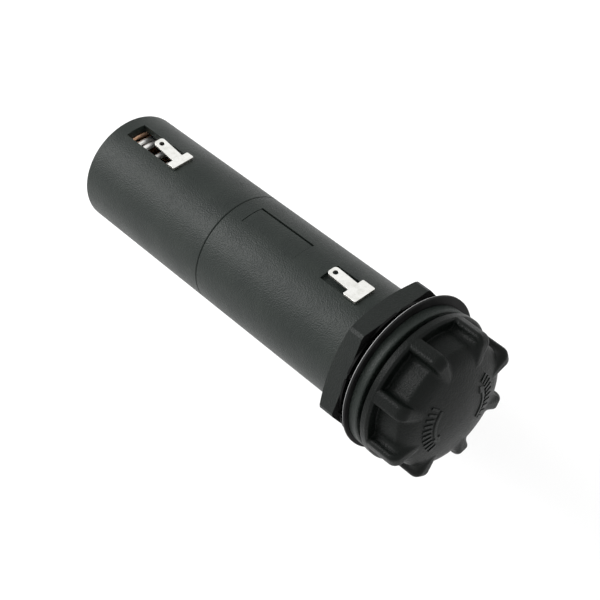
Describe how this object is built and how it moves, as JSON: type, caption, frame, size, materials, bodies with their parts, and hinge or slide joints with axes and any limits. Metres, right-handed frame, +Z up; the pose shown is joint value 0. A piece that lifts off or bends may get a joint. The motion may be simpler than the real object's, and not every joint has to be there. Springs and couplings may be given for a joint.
{
  "type": "cartridge fuse holder",
  "caption": "Sealed panel-mount tube holder for a large cartridge fuse, with lobed screw cap, panel nut, gasket and solder tags on the side.",
  "frame": {"origin": "centre of the panel seat, on the holder's axis at the rear face of the gasket", "axes": "+X along the holder's axis from the closed rear end to the screw cap, +Z up through the two solder tags"},
  "size_m": [0.0797, 0.0272, 0.0268],
  "materials": {
    "housing_plastic": "charcoal glass-filled nylon, fine satin grain",
    "nut_plastic": "charcoal nylon, satin",
    "cap_plastic": "black nylon, fine satin grain",
    "seal_rubber": "black nitrile rubber",
    "blackened_steel": "black-oxide spring steel",
    "tinned_brass": "bright tin plate on brass",
    "silvered_brass": "silver plate on brass",
    "contact_brass": "plain rolled brass",
    "cup_copper": "copper strip, slightly dulled",
    "spring_steel": "nickel-plated spring wire",
    "fuse_ceramic": "glazed steatite",
    "ferrule_plating": "bright nickel plate",
    "element_silver": "silver strip",
    "quartz_sand": "fine quartz filler"
  },
  "bodies": {
    "housing": {"front_body": "housing_plastic", "rear_body": "housing_plastic", "panel_gasket": "seal_rubber", "front_tag": "tinned_brass", "front_contact_ring": "silvered_brass", "front_tag_rivet": "tinned_brass", "rear_tag": "tinned_brass", "rear_contact_ring": "silvered_brass", "rear_tag_rivet": "tinned_brass", "spring_cup": "cup_copper", "contact_spring": "spring_steel"},
    "button": {"contact_button": "silvered_brass"},
    "fuse": {"fuse_tube": "fuse_ceramic", "fuse_rear_ferrule": "ferrule_plating", "fuse_front_ferrule": "ferrule_plating", "fuse_element": "element_silver", "fuse_sand": "quartz_sand"},
    "disc": {"pressure_disc": "contact_brass"},
    "cap": {"cap": "cap_plastic", "cap_o_ring": "seal_rubber", "disc_rivet": "contact_brass"},
    "washer": {"lock_washer": "blackened_steel"},
    "nut": {"panel_nut": "nut_plastic"}
  },
  "joints": [
    {"name": "contact_press", "type": "slide", "parent": "housing", "child": "button", "axis": [-1, 0, 0], "range_m": [0, 0.001], "stiffness_N_per_m": 1500, "springref_m": -0.004, "deforming": ["contact_spring"]},
    {"name": "fuse_withdraw", "type": "slide", "parent": "housing", "child": "fuse", "axis": [1, 0, 0], "range_m": [0, 0.06]},
    {"name": "cap_advance", "type": "slide", "parent": "fuse", "child": "disc", "axis": [1, 0, 0], "range_m": [0, 0.00751]},
    {"name": "cap_turn", "type": "hinge", "parent": "disc", "child": "cap", "pos_m": [0, 0, 0], "axis": [1, 0, 0], "range_deg": [0, 1080]},
    {"name": "nut_advance", "type": "slide", "parent": "housing", "child": "washer", "axis": [1, 0, 0], "range_m": [-0.00301, 0.00101]},
    {"name": "nut_turn", "type": "hinge", "parent": "washer", "child": "nut", "pos_m": [0, 0, 0], "axis": [1, 0, 0], "range_deg": [-720, 240]}
  ],
  "couplings": [
    {"joint": "cap_advance", "follows": "cap_turn", "m_per_rad": 0.00039789},
    {"joint": "nut_advance", "follows": "nut_turn", "m_per_rad": 0.00023873}
  ]
}
